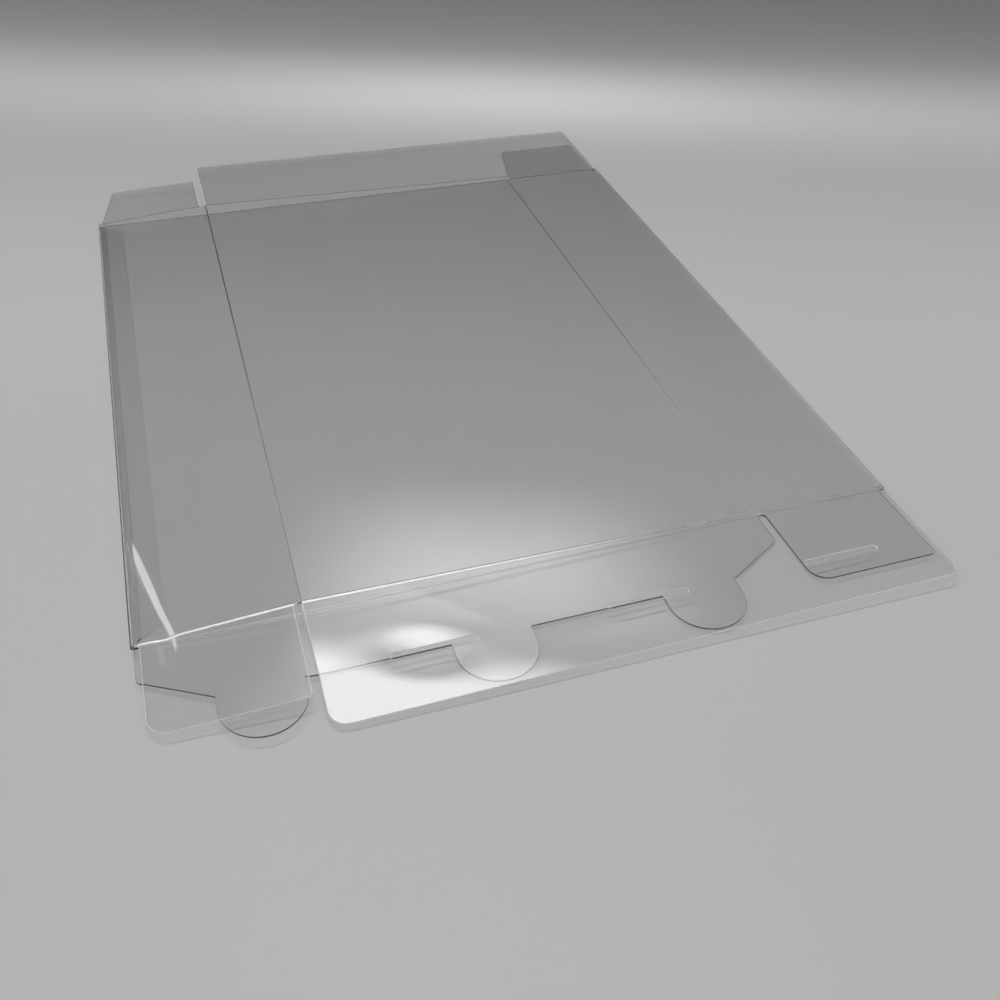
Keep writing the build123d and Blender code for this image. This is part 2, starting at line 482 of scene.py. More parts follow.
class RippleTree:
    """Geometry Nodes that ripple a piece of film and give it its finishes."""

    def __init__(self) -> None:
        """Builds the group for one ripple, which every piece's tree repeats."""
        self.ripple = self._ripple_group()

    @staticmethod
    def _attribute(tree: bpy.types.NodeTree, name: str, kind: str) -> bpy.types.NodeSocket:
        """Adds a node that reads an attribute of the mesh.

        Args:
            tree: the tree to add to.
            name: the attribute's name.
            kind: its type.

        Returns:
            Its value.
        """
        node = tree.nodes.new("GeometryNodeInputNamedAttribute")
        node.data_type = kind
        node.inputs["Name"].default_value = name
        return node.outputs["Attribute"]

    def _ripple_group(self) -> bpy.types.NodeTree:
        """The group that lifts the film by one wave packet.

        Returns:
            The group, with named inputs for the wave's place and sizes.
        """
        tree = bpy.data.node_groups.new("film_ripple", "GeometryNodeTree")
        add_socket(tree, "Geometry", "NodeSocketGeometry")
        add_socket(tree, "Centre", "NodeSocketVector")
        for name in ("Heading", "Length", "Height", "Along", "Across", "Bend"):
            add_socket(tree, name, "NodeSocketFloat")
        add_socket(tree, "Geometry", "NodeSocketGeometry", "OUTPUT")
        nodes, links = tree.nodes, tree.links
        given = nodes.new("NodeGroupInput").outputs
        place = nodes.new("GeometryNodeInputPosition").outputs[0]
        moved = nodes.new("ShaderNodeVectorMath")
        moved.operation = "SUBTRACT"
        links.new(place, moved.inputs[0])
        links.new(given["Centre"], moved.inputs[1])
        turned = nodes.new("ShaderNodeVectorRotate")
        turned.rotation_type = "Z_AXIS"
        links.new(moved.outputs[0], turned.inputs["Vector"])
        links.new(add_math(tree, "MULTIPLY", given["Heading"], -1.0), turned.inputs["Angle"])
        parts = nodes.new("ShaderNodeSeparateXYZ")
        links.new(turned.outputs[0], parts.inputs[0])
        side = parts.outputs["Y"]
        bowed = add_math(tree, "MULTIPLY", add_math(tree, "MULTIPLY", side, side), given["Bend"])
        ahead = add_math(tree, "ADD", parts.outputs["X"], bowed)
        fades = []
        for part, size in ((ahead, "Along"), (side, "Across")):
            ratio = add_math(tree, "DIVIDE", part, given[size])
            fades.append(add_math(tree, "MULTIPLY", ratio, ratio))
        fade = add_math(tree, "ADD", *fades)
        envelope = add_math(tree, "EXPONENT", add_math(tree, "MULTIPLY", fade, -1.0))
        turns = add_math(tree, "DIVIDE", ahead, given["Length"])
        wave = add_math(tree, "COSINE", add_math(tree, "MULTIPLY", turns, math.tau))
        lift = add_math(tree, "MULTIPLY", wave, envelope)
        lift = add_math(tree, "MULTIPLY", lift, given["Height"])
        lift = add_math(tree, "MULTIPLY", lift, self._attribute(tree, FREEDOM, "FLOAT"))
        offset = nodes.new("ShaderNodeCombineXYZ")
        links.new(lift, offset.inputs["Z"])
        setter = nodes.new("GeometryNodeSetPosition")
        links.new(given["Geometry"], setter.inputs["Geometry"])
        links.new(offset.outputs[0], setter.inputs["Offset"])
        result = nodes.new("NodeGroupOutput")
        links.new(setter.outputs[0], result.inputs["Geometry"])
        return tree

    def piece_tree(self, name: str, ripples: Sequence[tuple[Vector, Ripple]]) -> bpy.types.NodeTree:
        """The tree for one piece of film.

        Args:
            name: the piece's name.
            ripples: each ripple with its centre in metres.

        Returns:
            A tree with one named material input for each finish.
        """
        tree = bpy.data.node_groups.new(f"{name}_ripples", "GeometryNodeTree")
        add_socket(tree, "Geometry", "NodeSocketGeometry")
        for finish in Finish:
            add_socket(tree, finish.name, "NodeSocketMaterial")
        add_socket(tree, "Geometry", "NodeSocketGeometry", "OUTPUT")
        nodes, links = tree.nodes, tree.links
        given = nodes.new("NodeGroupInput").outputs
        flow = given["Geometry"]
        for centre, ripple in ripples:
            group = nodes.new("GeometryNodeGroup")
            group.node_tree = self.ripple
            group.inputs["Centre"].default_value = centre
            group.inputs["Heading"].default_value = math.radians(ripple.heading)
            group.inputs["Length"].default_value = ripple.length * MM
            group.inputs["Height"].default_value = ripple.height * MM
            group.inputs["Along"].default_value = ripple.along * MM
            group.inputs["Across"].default_value = ripple.across * MM
            group.inputs["Bend"].default_value = ripple.bend / MM
            links.new(flow, group.inputs["Geometry"])
            flow = group.outputs["Geometry"]
        real = nodes.new("GeometryNodeRealizeInstances")
        links.new(flow, real.inputs["Geometry"])
        flow = real.outputs["Geometry"]
        for finish in Finish:
            same = nodes.new("FunctionNodeCompare")
            same.data_type = "INT"
            same.operation = "EQUAL"
            links.new(self._attribute(tree, FINISH, "INT"), same.inputs["A"])
            same.inputs["B"].default_value = finish.value
            dress = nodes.new("GeometryNodeSetMaterial")
            links.new(flow, dress.inputs["Geometry"])
            links.new(same.outputs["Result"], dress.inputs["Selection"])
            links.new(given[finish.name], dress.inputs["Material"])
            flow = dress.outputs["Geometry"]
        links.new(flow, nodes.new("NodeGroupOutput").inputs["Geometry"])
        return tree

    def apply(
        self,
        piece: bpy.types.Object,
        ripples: Sequence[tuple[Vector, Ripple]],
        materials: dict[Finish, bpy.types.Material],
    ) -> None:
        """Ripples a piece and leaves it a plain mesh.

        Args:
            piece: the object, with the freedom and finish attributes on its mesh.
            ripples: each ripple with its centre in metres.
            materials: the material of each finish.
        """
        tree = self.piece_tree(piece.name, ripples)
        modifier = piece.modifiers.new("ripples", "NODES")
        modifier.node_group = tree
        for socket in tree.interface.items_tree:
            if socket.in_out == "INPUT" and socket.socket_type == "NodeSocketMaterial":
                modifier[socket.identifier] = materials[Finish[socket.name]]
        seen = piece.evaluated_get(bpy.context.evaluated_depsgraph_get())
        plain = bpy.data.meshes.new_from_object(seen)
        piece.modifiers.remove(modifier)
        piece.data = plain
        plain.name = piece.name
        for name in (FREEDOM, FINISH):
            plain.attributes.remove(plain.attributes[name])


@dataclass
class FilmPiece:
    """A piece of film cut to an outline, laid on a shape and given thickness and cut edges.

    The surface is a function that takes a place on the flat sheet and returns its Spot. The
    first side of the film faces along the cross product of the spot's two directions. A crease
    stands out as a bead on one side and sinks in as a groove on the other, and a seam is a Y
    on the flat sheet where the film runs on into another piece.
    """

    name: str
    outline: list[Point]
    surface: Callable[[float, float], Spot]
    stations: tuple[Sequence[float], Sequence[float]]
    film: float
    origin: Vector
    holes: list[list[Point]] = field(default_factory=list)
    edge_round: float = 0.05
    bead: float = 0.05
    groove: float = 0.06
    bead_on_first: bool = True
    seams: tuple[float, ...] = ()
    rim: Finish = Finish.CUT_EDGE
    pressed: Finish = Finish.PRESSED_CREASE
    pressed_from: float = 0.4
    clear_of_cuts: float = 0.15
    sharp_from: float = 38.0

    def _on_seam(self, *ends: np.ndarray) -> bool:
        """Whether a side lies where two pieces of the same sheet meet."""
        return any(all(abs(end[1] - seam) < ON_SEAM for end in ends) for seam in self.seams)

    def _lattice(self) -> np.ndarray:
        """Crosses the stations.

        Returns:
            The crossings inside the outline, clear of every cut.
        """
        first, second = (np.array(sorted(set(row))) for row in self.stations)
        grid = np.array(np.meshgrid(first, second, indexing="ij")).reshape(2, -1).T
        kept = inside(grid, self.outline) & (clearance(grid, self.outline) > self.clear_of_cuts)
        for hole in self.holes:
            kept &= ~inside(grid, hole) & (clearance(grid, hole) > self.clear_of_cuts)
        return grid[kept]

    def _triangles(self) -> tuple[np.ndarray, np.ndarray]:
        """Cuts the sheet into triangles.

        Returns:
            The points on the flat sheet, and three point numbers for each triangle.
        """
        points: list[Point] = []
        edges: list[tuple[int, int]] = []
        for loop in (split_at(each, self.stations) for each in (self.outline, *self.holes)):
            start, count = len(points), len(loop)
            points += loop
            edges += [(start + i, start + (i + 1) % count) for i in range(count)]
        points += [tuple(p) for p in self._lattice()]
        made = delaunay_2d_cdt([Vector(p) for p in points], edges, [], 0, MERGED)
        flat = np.array([tuple(p) for p in made[0]])
        faces = np.array(made[2])
        middles = flat[faces].mean(axis=1)
        kept = inside(middles, self.outline)
        for hole in self.holes:
            kept &= ~inside(middles, hole)
        faces = faces[kept]
        sides = flat[faces[:, 1:]] - flat[faces[:, :1]]
        turn = sides[:, 0, 0] * sides[:, 1, 1] - sides[:, 0, 1] * sides[:, 1, 0]
        faces[turn < 0] = faces[turn < 0][:, ::-1]
        faces = faces[np.abs(turn) > NOTHING]
        used, numbers = np.unique(faces, return_inverse=True)
        return flat[used], numbers.reshape(faces.shape)

    @staticmethod
    def _open_sides(faces: np.ndarray) -> list[tuple[int, int]]:
        """The sides that only one triangle has, in that triangle's order."""
        sides = {(int(t[i]), int(t[(i + 1) % 3])) for t in faces for i in range(3)}
        return [(a, b) for a, b in sorted(sides) if (b, a) not in sides]

    def _outward(self, flat: np.ndarray, rim: Sequence[tuple[int, int]]) -> np.ndarray:
        """The directions in which the cut edges face.

        Args:
            flat: the points on the flat sheet.
            rim: the open sides, as point numbers.

        Returns:
            A direction for each point, which is nothing away from the cut edges.
        """
        outward = np.zeros_like(flat)
        for a, b in rim:
            if self._on_seam(flat[a], flat[b]):
                continue
            side = flat[b] - flat[a]
            normal = np.array((side[1], -side[0])) / max(np.linalg.norm(side), NOTHING)
            outward[a] += normal
            outward[b] += normal
        lengths = np.linalg.norm(outward, axis=1)
        edged = lengths > 0
        outward[edged] /= lengths[edged, None]
        return outward

    def mesh(self) -> bpy.types.Mesh:
        """Builds the closed mesh of the piece.

        Returns:
            The mesh, with the freedom and finish attributes that the ripple tree reads.
        """
        flat, faces = self._triangles()
        rim = self._open_sides(faces)
        outward = self._outward(flat, rim)
        on_rim = {index for side in rim for index in side}
        first, second, middle = [], [], {}
        spots = [self.surface(float(x), float(y)) for x, y in flat]
        for index, spot in enumerate(spots):
            normal = spot.along_first.cross(spot.along_second).normalized()
            out = spot.along_first * outward[index][0] + spot.along_second * outward[index][1]
            bead, groove = self.bead * spot.crease, self.groove * spot.crease
            up, down = (bead, -groove) if self.bead_on_first else (-groove, bead)
            drawn_in = spot.middle - out * self.edge_round
            first.append(drawn_in + normal * (self.film / 2 + up))
            second.append(drawn_in - normal * (self.film / 2 + down))
            if index in on_rim:
                middle[index] = spot.middle + normal * (up - down) / 2
        count = len(flat)
        place = {index: 2 * count + order for order, index in enumerate(middle)}
        points = [*first, *second, *middle.values()]
        freedom = [spot.freedom for spot in (*spots, *spots, *(spots[index] for index in middle))]
        polygons = [tuple(map(int, face)) for face in faces]
        polygons += [tuple(int(i) + count for i in face[::-1]) for face in faces]
        finishes = [self._face_finish([spots[i] for i in face]).value for face in faces] * 2
        for a, b in rim:
            polygons += [(b, a, place[a], place[b]), (place[b], place[a], a + count, b + count)]
            hidden = self._on_seam(flat[a], flat[b])
            finish = Finish.CLEAR if hidden else self._edge_finish(spots[a], spots[b])
            finishes += [finish.value] * 2
        mesh = bpy.data.meshes.new(self.name)
        mesh.from_pydata([(point - self.origin) * MM for point in points], [], polygons)
        mesh.attributes.new(FREEDOM, "FLOAT", "POINT").data.foreach_set("value", freedom)
        mesh.attributes.new(FINISH, "INT", "FACE").data.foreach_set("value", finishes)
        mesh.shade_smooth()
        mesh.set_sharp_from_angle(angle=math.radians(self.sharp_from))
        mesh.validate()
        return mesh

    def _face_finish(self, spots: Sequence[Spot]) -> Finish:
        """Chooses the finish of a face.

        Args:
            spots: the face's corners.

        Returns:
            The crease's finish where a corner is pressed, or else the one that all share.
        """
        if max(spot.crease for spot in spots) > self.pressed_from:
            return self.pressed
        return spots[0].finish if len({spot.finish for spot in spots}) == 1 else Finish.CLEAR

    def _edge_finish(self, *ends: Spot) -> Finish:
        """The finish of the cut edge between two spots."""
        glued = Finish.GLUED_SEAM in [end.finish for end in ends]
        return Finish.GLUED_SEAM if glued else self.rim

    def build(self) -> bpy.types.Object:
        """Makes the piece.

        Returns:
            Its object, at the frame's origin.
        """
        piece = bpy.data.objects.new(self.name, self.mesh())
        bpy.context.scene.collection.objects.link(piece)
        return piece


@dataclass(frozen=True)
class SheetCharacter:
    """How even the film's surface is: what the shared group draws for one finish.

    The grain's flow lines and the smudges of haze have their sizes in millimetres.
    """

    tint_low: Colour
    tint_high: Colour
    roughness_low: float
    roughness_high: float
    grain_size: float = 2.2
    smudge_size: float = 26.0


class FilmCharacterGroup:
    """The shader group that every film finish shares: tint, haze and fine flow lines."""

    NAME = "film_character"
    FLOW_STRETCH: Place = (1.0, 0.12, 1.0)
    HAZE: Point = (0.42, 0.7)
    DETAIL = 1.0

    def __init__(self) -> None:
        """Builds the group once."""
        self.tree = tree = bpy.data.node_groups.new(self.NAME, "ShaderNodeTree")
        for name in ("Tint low", "Tint high"):
            add_socket(tree, name, "NodeSocketColor")
        for name in ("Roughness low", "Roughness high", "Grain scale", "Smudge scale"):
            add_socket(tree, name, "NodeSocketFloat")
        add_socket(tree, "Tint", "NodeSocketColor", "OUTPUT")
        add_socket(tree, "Roughness", "NodeSocketFloat", "OUTPUT")
        add_socket(tree, "Height", "NodeSocketFloat", "OUTPUT")
        nodes, links = tree.nodes, tree.links
        given = nodes.new("NodeGroupInput").outputs
        result = nodes.new("NodeGroupOutput").inputs
        place = nodes.new("ShaderNodeTexCoord").outputs["Object"]
        drawn = nodes.new("ShaderNodeMapping")
        drawn.inputs["Scale"].default_value = self.FLOW_STRETCH
        links.new(place, drawn.inputs["Vector"])
        haze = nodes.new("ShaderNodeMapRange")
        haze.interpolation_type = "SMOOTHSTEP"
        haze.inputs["From Min"].default_value, haze.inputs["From Max"].default_value = self.HAZE
        links.new(self._noise(given["Smudge scale"], place), haze.inputs["Value"])
        for name, kind in (("Tint", "RGBA"), ("Roughness", "FLOAT")):
            mixed = nodes.new("ShaderNodeMix")
            mixed.data_type = kind
            links.new(haze.outputs[0], mixed.inputs["Factor"])
            links.new(given[f"{name} low"], mixed.inputs["A"])
            links.new(given[f"{name} high"], mixed.inputs["B"])
            links.new(mixed.outputs["Result"], result[name])
        links.new(self._noise(given["Grain scale"], drawn.outputs[0]), result["Height"])

    def _noise(
        self, scale: bpy.types.NodeSocket, place: bpy.types.NodeSocket
    ) -> bpy.types.NodeSocket:
        """Adds a Noise texture.

        Args:
            scale: how fine it is.
            place: the place to read it at.

        Returns:
            Its value.
        """
        node = self.tree.nodes.new("ShaderNodeTexNoise")
        node.inputs["Detail"].default_value = self.DETAIL
        self.tree.links.new(place, node.inputs["Vector"])
        self.tree.links.new(scale, node.inputs["Scale"])
        return node.outputs[0]


@dataclass(frozen=True)
class FilmFinish:
    """One finish of clear polyester film.

    Its bump distance is in millimetres. Where a fade is set, the tint, a painted highlight, fades
    across the piece from the first X given to the second, in millimetres from the frame's origin.
    """

    name: str
    character: SheetCharacter
    transmission: float = 1.0
    refraction: float = 1.575
    bump: float = 0.03
    bump_distance: float = 0.2
    lamp_tint: Colour = (0.948, 0.952, 0.95)
    dulled_from: float = 0.0
    dulled_by: float = 0.0
    painted_highlight_share: float = 0.36

    def material(self, group: FilmCharacterGroup) -> bpy.types.Material:
        """Builds the material.

        Light from lamps goes straight through the film, so that the table under it is lit.

        Args:
            group: the shared film group.

        Returns:
            The material.
        """
        made = bpy.data.materials.new(self.name)
        made.use_nodes = True
        tree = made.node_tree
        nodes, links = tree.nodes, tree.links
        nodes.clear()
        drawn = nodes.new("ShaderNodeGroup")
        drawn.node_tree = group.tree
        character = self.character
        for name, value in {
            "Tint low": (*character.tint_low, 1),
            "Tint high": (*character.tint_high, 1),
            "Roughness low": character.roughness_low,
            "Roughness high": character.roughness_high,
            "Grain scale": 1 / (character.grain_size * MM),
            "Smudge scale": 1 / (character.smudge_size * MM),
        }.items():
            drawn.inputs[name].default_value = value
        film = nodes.new("ShaderNodeBsdfPrincipled")
        film.inputs["IOR"].default_value = self.refraction
        film.inputs["Transmission Weight"].default_value = self.transmission
        tint = drawn.outputs["Tint"]
        # The tint fades here as a painted highlight along the crease.
        if self.dulled_by:
            tint = self._dulled(tree, tint)
        links.new(tint, film.inputs["Base Color"])
        links.new(drawn.outputs["Roughness"], film.inputs["Roughness"])
        if self.bump:
            bump = nodes.new("ShaderNodeBump")
            bump.inputs["Strength"].default_value = self.bump
            bump.inputs["Distance"].default_value = self.bump_distance * MM
            links.new(drawn.outputs["Height"], bump.inputs["Height"])
            links.new(bump.outputs[0], film.inputs["Normal"])
        through = nodes.new("ShaderNodeBsdfTransparent")
        through.inputs["Color"].default_value = (*self.lamp_tint, 1)
        path = nodes.new("ShaderNodeLightPath").outputs
        lit = add_math(tree, "MAXIMUM", path["Is Shadow Ray"], path["Is Diffuse Ray"])
        mixed = nodes.new("ShaderNodeMixShader")
        links.new(lit, mixed.inputs["Fac"])
        links.new(film.outputs[0], mixed.inputs[1])
        links.new(through.outputs[0], mixed.inputs[2])
        links.new(mixed.outputs[0], nodes.new("ShaderNodeOutputMaterial").inputs["Surface"])
        return made

    def _dulled(self, tree: bpy.types.NodeTree, tint: bpy.types.NodeSocket) -> bpy.types.NodeSocket:
        """A painted highlight that fades across the piece.

        Args:
            tree: the material's tree.
            tint: the colour to fade.

        Returns:
            The colour, whole up to the first X and down to its share at the second.
        """
        nodes, links = tree.nodes, tree.links
        parts = nodes.new("ShaderNodeSeparateXYZ")
        links.new(nodes.new("ShaderNodeTexCoord").outputs["Object"], parts.inputs[0])
        share = nodes.new("ShaderNodeMapRange")
        share.inputs["From Min"].default_value = self.dulled_from * MM
        share.inputs["From Max"].default_value = self.dulled_by * MM
        share.inputs["To Min"].default_value = 1.0
        share.inputs["To Max"].default_value = self.painted_highlight_share
        links.new(parts.outputs["X"], share.inputs["Value"])
        return add_scaled(tree, tint, share.outputs[0])


@dataclass(frozen=True)
class FilmFinishes:
    """The finishes of the protector, each named as in Finish."""

    clear: FilmFinish = FilmFinish(
        "clear_film",
        SheetCharacter((0.982, 0.986, 0.984), (0.974, 0.978, 0.976),
                       roughness_low=0.012, roughness_high=0.03),
        bump=0.0,
    )
    cut_edge: FilmFinish = FilmFinish(
        "die_cut_edge",
        SheetCharacter((0.91, 0.92, 0.915), (0.87, 0.88, 0.875),
                       roughness_low=0.2, roughness_high=0.27, grain_size=0.6, smudge_size=5.0),
        transmission=0.9,
        bump=0.2,
        lamp_tint=(0.4, 0.41, 0.405),
    )
    pressed_crease: FilmFinish = FilmFinish(
        "pressed_crease",
        SheetCharacter((0.93, 0.94, 0.935), (0.9, 0.91, 0.905),
                       roughness_low=0.1, roughness_high=0.16, grain_size=1.2, smudge_size=8.0),
        bump=0.12,
    )
    glued_seam: FilmFinish = FilmFinish(
        "glued_seam",
        SheetCharacter((0.99, 0.994, 0.992), (0.975, 0.98, 0.978),
                       roughness_low=0.03, roughness_high=0.1, grain_size=1.6, smudge_size=9.0),
        refraction=1.15,
        bump=0.06,
        lamp_tint=(0.985, 0.988, 0.986),
    )
    # Painted highlight: a lit, white copy of the die-cut edge, for the hinged flaps' edges that
    # face the light.
    painted_lit_edge: FilmFinish = FilmFinish(
        "painted_lit_edge",
        SheetCharacter((0.97, 0.975, 0.97), (0.9, 0.91, 0.905),
                       roughness_low=0.3, roughness_high=0.45, grain_size=0.6, smudge_size=5.0),
        transmission=0.1,
        bump=0.0,
        lamp_tint=(0.35, 0.36, 0.355),
    )
    # Painted highlight: the glint of the near creases, painted as a white crease that fades across
    # the piece.
    whitened_crease: FilmFinish = FilmFinish(
        "whitened_crease",
        SheetCharacter((0.97, 0.975, 0.97), (0.93, 0.94, 0.935),
                       roughness_low=0.25, roughness_high=0.4, grain_size=1.2, smudge_size=8.0),
        transmission=0.3,
        bump=0.02,
        dulled_from=-6.0,
        dulled_by=26.0,
    )

    def materials(self, group: FilmCharacterGroup) -> dict[Finish, bpy.types.Material]:
        """The material of each finish."""
        return {finish: getattr(self, finish.name.lower()).material(group) for finish in Finish}


@dataclass
class Sleeve:
    """The four panels, the glue tab and the lower layer's flaps: one sheet, folded flat.

    On the flat sheet the first coordinate runs across the panels: back panel and lower side
    panel, right fold, front panel and upper side panel, left fold, glue tab. The lower layer's
    near flaps rise from their crease at least_rise, and more steeply across two spans at the
    left and right. The raised crease holds the film flat over ridge_hold times its own width.
    The zones, reaches and steps lay out the mesh, which is finest where the film was handled.
    """

    blank: Blank
    name: str = "sleeve_film"
    groove: float = 0.08
    ridge_hold: float = 4.0
    least_rise: float = 0.012
    rise_at_left: float = 0.03
    rise_at_right: float = 0.014
    left_rise_span: Point = (34.5, 30.5)
    right_rise_span: Point = (134.0, 136.0)
    panel_step: float = 3.2
    fold_steps: int = 8
    tab_step: float = 2.0
    left_fold_zone: float = 12.0
    left_fold_step: float = 0.4
    near_reach: float = 30.0
    near_step: float = 2.4
    handled_to: float = 40.0
    handled_step: float = 1.0
    far_reach: float = 24.0

    def __post_init__(self) -> None:
        """Works out where each part of the section starts on the flat sheet."""
        b = self.blank
        self.tab_middle = b.film * 1.5 + b.glue_line
        self.left_radius = (b.upper_left - self.tab_middle) / 2
        self.up = b.right + math.pi * b.fold_radius
        self.over = self.up + b.right - b.left
        self.tab = self.over + math.pi * self.left_radius
        self.end = self.tab + b.glue_tab - b.left

    def upper_at(self, x: float) -> float:
        """The flat sheet's coordinate of a place on the upper layer."""
        return self.up + self.blank.right - x

    def outline(self) -> list[Point]:
        """Draws the die line of the whole piece.

        Returns:
            The closed outline on the flat sheet.
        """
        b, h = self.blank, self.blank.crease_half_width
        far, low, high = b.length, b.wide_panel, b.wide_panel + b.side_panel
        tip = b.lock_edge + b.tongue_neck + b.tongue_width / 2
        corners: list[Corner] = [(b.left, -b.shoulder, b.shoulder_radius)]
        for number in range(b.tongue_count):
            middle = b.pitch * (number + 0.5)
            near, wide = middle - b.tongue_width / 2, middle + b.tongue_width / 2
            half = b.tongue_width / 2
            corners += [(near, -b.lock_edge, 0), (near, -tip, half), (wide, -tip, half),
                        (wide, -b.lock_edge, 0)]
        big, small = b.side_flap_radii
        corners += [
            (low, -b.shoulder, b.shoulder_radius),
            (low, 0, b.notch / 2), (low + b.notch, 0, b.notch / 2),
            (low + b.notch, -b.side_flap_reach, big),
            (high - b.notch, -b.side_flap_reach, small),
            (high - b.notch, 0, b.notch / 2), (high - b.notch / 2, 0, 0),
        ]
        corners += self._step_in(0, h)
        root = self.tab + b.tab_root
        corners += [
            (root, 0, 0), (root, b.tab_setback, 0),
            (self.end, b.tab_setback + b.tab_taper, 0),
            (self.end, far - b.tab_setback - b.tab_taper, 0),
            (root, far - b.tab_setback, 0), (root, far, 0),
        ]
        corners += self._step_in(far, -h)[::-1]
        top = far + b.dust_flap_reach
        corners += [
            (high - b.notch / 2, far, 0), (high - b.notch, far, b.notch / 2),
            (high - b.notch, top, b.dust_radius),
            (low + b.notch / 2 + b.dust_slant, top, b.dust_radius),
            (low + b.notch / 2, far, 0), (b.left, far, 0),
        ]
        return rounded_loop(corners)

    def _step_in(self, edge: float, inward: float) -> list[Corner]:
        """The cut along the upper layer, set in where a hinged flap's crease strip starts.

        Args:
            edge: Y of the crease line.
            inward: how far the cut is set in, towards the sleeve.

        Returns:
            The corners from the right fold to the left.
        """
        b = self.blank
        ridge, side = self.upper_at(b.side_panel), self.upper_at(b.side_panel - b.notch / 2)
        end = self.upper_at(b.notch / 2)
        set_in = edge + inward
        return [(self.up, edge, 0), (self.up, set_in, 0), (ridge, set_in, 0), (ridge, edge, 0),
                (side, edge, 0), (side, set_in, 0), (end, set_in, 0), (end, edge, 0)]

    def place(self, s: float, v: float) -> Spot:
        """Folds the flat sheet into the sleeve.

        Args:
            s: the place across the panels.
            v: the place along them.

        Returns:
            Where that place of the film lies, and how it is finished.
        """
        b = self.blank
        along = Vector((0, 1, 0))
        if s <= b.right:
            rise = self.rise(s) if v < 0 else 0.0
            crease = max(b.pressed(s - b.wide_panel) * float(0 <= v <= b.length),
                         b.pressed(v),
                         b.pressed(v - b.length) * float(s > b.wide_panel))
            height = b.film / 2 + rise * soft_ramp(-v, b.press_half_width)
            return Spot(Vector((s, v, height)), Vector((1, 0, 0)),
                        Vector((0, 1, -rise)).normalized(), crease, freedom=0.0)
        if s < self.up:
            turn = (s - b.right) / b.fold_radius
            centre = b.film / 2 + b.fold_radius
            middle = Vector((b.right + b.fold_radius * math.sin(turn), v,
                             centre - b.fold_radius * math.cos(turn)))
            return Spot(middle, Vector((math.cos(turn), 0, math.sin(turn))), along, freedom=0.0)
        if s <= self.over:
            x = b.right - (s - self.up)
            across = Vector((-1, 0, -b.upper_slope(x))).normalized()
            past_ridge = x - b.side_panel
            freedom = b.freedom(x) * (1 - b.pressed(past_ridge / self.ridge_hold))
            return Spot(Vector((x, v, b.upper(x))), across, along, b.pressed(past_ridge), freedom)
        if s < self.tab:
            turn = (s - self.over) / self.left_radius
            centre = self.tab_middle + self.left_radius
            middle = Vector((b.left - self.left_radius * math.sin(turn), v,
                             centre + self.left_radius * math.cos(turn)))
            return Spot(middle, Vector((-math.cos(turn), 0, -math.sin(turn))), along, freedom=0.0)
        return Spot(Vector((b.left + s - self.tab, v, self.tab_middle)), Vector((1, 0, 0)), along,
                    freedom=0.0, finish=Finish.GLUED_SEAM)

    def rise(self, s: float) -> float:
        """How the lower layer's near flaps rise: least where the slot flap lies on them.

        Args:
            s: the place across the panels.

        Returns:
            The slope.
        """
        rise = self.least_rise
        for more, (start, end) in ((self.rise_at_left, self.left_rise_span),
                                   (self.rise_at_right, self.right_rise_span)):
            rise += more * soft_step((s - start) / (end - start))
        return rise

    def stations(self) -> tuple[list[float], list[float]]:
        """Lays out the mesh: even over the panels, close together over folds and creases.

        Returns:
            The stations across the panels and along them.
        """
        b, h, p = self.blank, self.blank.crease_half_width, self.blank.press_half_width
        ridge = self.upper_at(b.side_panel)
        first = spread(b.left, b.wide_panel - h, self.panel_step)
        first += spread(b.wide_panel - h, b.wide_panel + h, 2 * h)
        first += spread(b.wide_panel - p, b.wide_panel + p, p / 2)
        first += spread(b.wide_panel + h, b.right, self.panel_step)
        first += spread(b.right, self.up, (self.up - b.right) / self.fold_steps)
        first += spread(self.up, ridge - h, self.panel_step)
        first += spread(ridge - p, ridge + p, p / 2)
        first += spread(ridge + h, self.over - self.left_fold_zone, self.panel_step)
        first += spread(self.over - self.left_fold_zone, self.over, self.left_fold_step)
        first += spread(self.over, self.tab, (self.tab - self.over) / self.fold_steps)
        first += spread(self.tab, self.end, self.tab_step)
        second = spread(-self.near_reach, -h, self.near_step) + spread(-p, p, p / 2)
        second += spread(h, self.handled_to, self.handled_step)
        second += spread(self.handled_to, b.length - h, self.panel_step)
        second += spread(b.length - p, b.length + p, p / 2)
        second += spread(b.length + h, b.length + self.far_reach, self.panel_step)
        return first, second

    def piece(self, origin: Vector) -> FilmPiece:
        """The film of the sleeve, ready to build.

        Args:
            origin: the frame's origin on the sheet.

        Returns:
            The piece.
        """
        b = self.blank
        return FilmPiece(self.name, self.outline(), self.place, self.stations(), b.film,
                         origin, bead=0.0, groove=self.groove, bead_on_first=False,
                         seams=(b.crease_half_width, b.length - b.crease_half_width))

    def hang(self, piece: bpy.types.Object, origin: Vector) -> None:
        """Ties the piece to the sleeve's body, which the whole protector hangs on.

        Args:
            piece: the sleeve's finished object.
            origin: the frame's origin on the sheet; not used.
        """
        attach(piece, "sleeve")
        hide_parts("sleeve")


